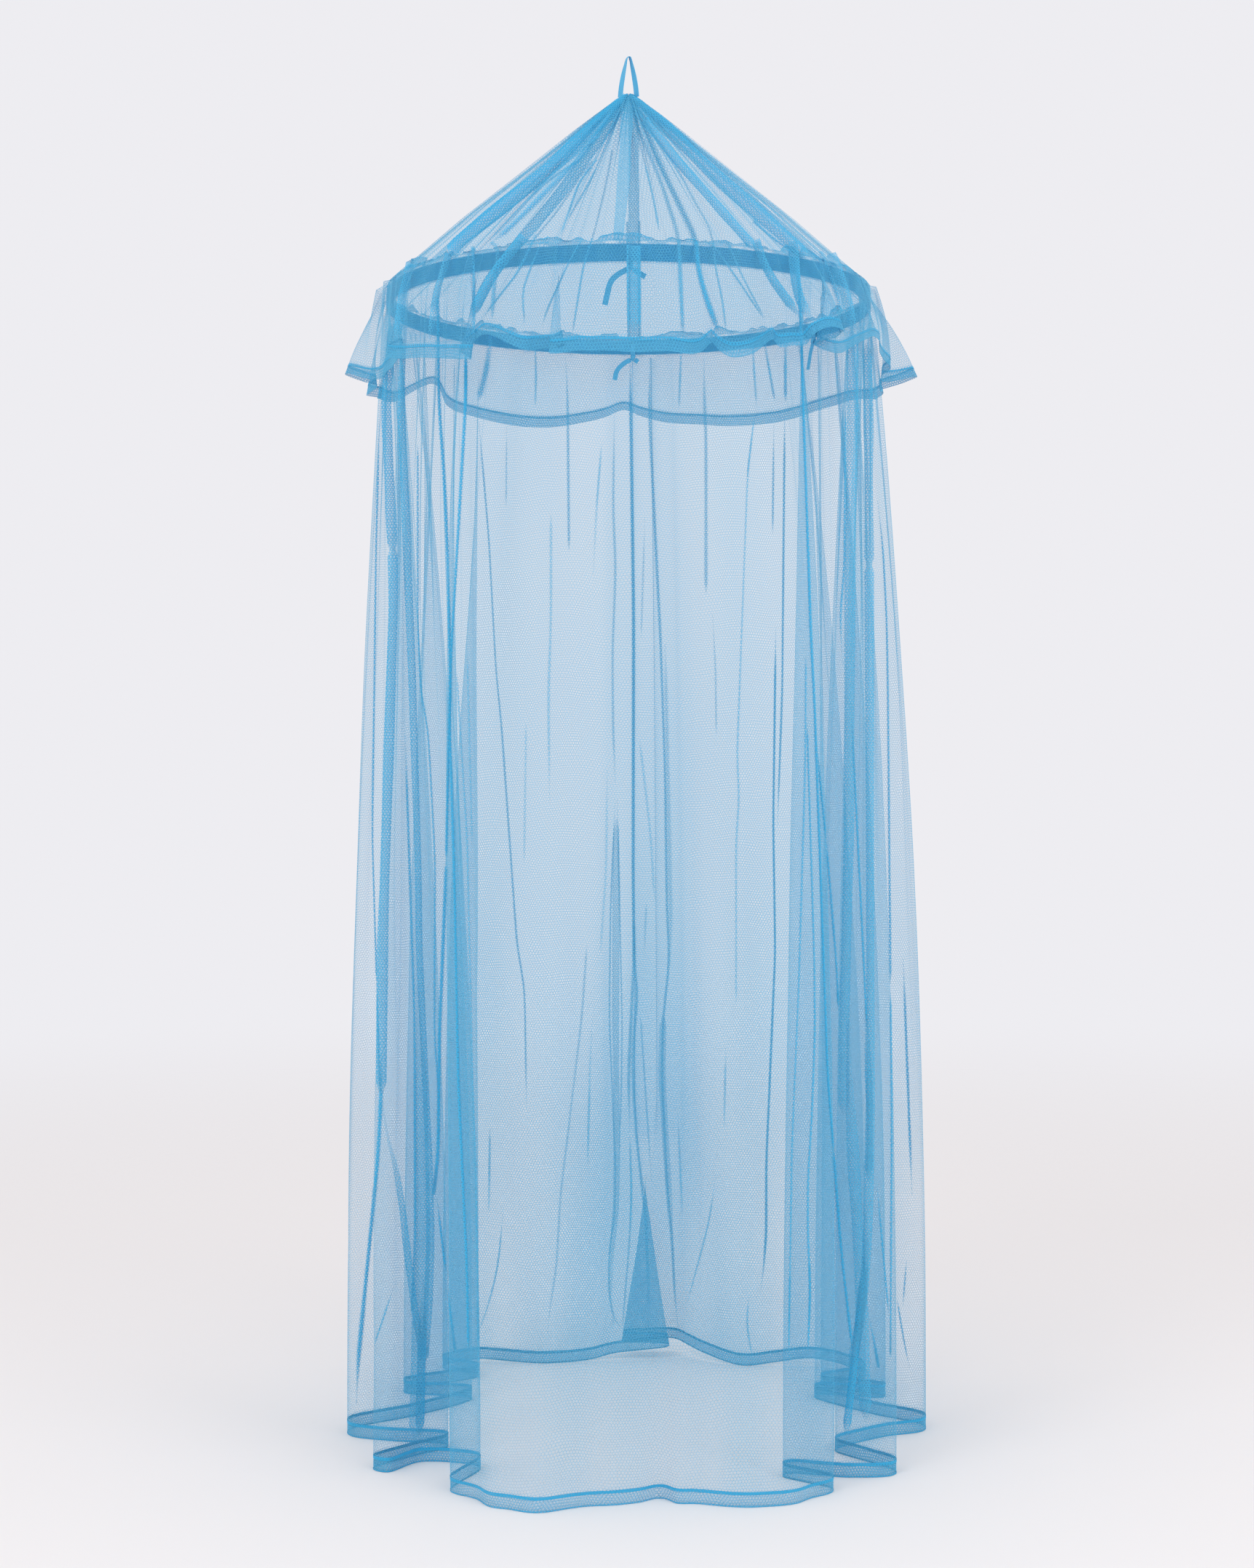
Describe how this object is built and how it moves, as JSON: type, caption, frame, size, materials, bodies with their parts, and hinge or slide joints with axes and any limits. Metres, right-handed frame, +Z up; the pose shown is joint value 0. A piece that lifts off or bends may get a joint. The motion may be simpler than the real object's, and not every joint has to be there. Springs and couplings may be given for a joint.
{
  "type": "mosquito net canopy and hoop",
  "caption": "Hanging net canopy: a gathered cone and flared valance over a flat hoop, with a long sheer net falling in side folds to a hemmed edge, and a tape loop to hang it by.",
  "frame": {"origin": "the point where a hook holds the hanging loop, at the inside top of the loop", "axes": "+Z up along the canopy's axis, -Y towards the front, +X to the right seen from the front"},
  "size_m": [0.9108, 0.9529, 2.1395],
  "materials": {
    "net": "sheer hexagonal net in light blue, with doubled hems",
    "tape": "folded woven tape in the net's blue",
    "hoop_strip": "smooth darker blue strip"
  },
  "bodies": {
    "root": {"hoop": "hoop_strip", "net_curtain": "net", "net_crown": "net", "hanging_loop": "tape", "tie_front": "tape", "tie_back": "tape", "tie_right": "tape"}
  },
  "joints": []
}
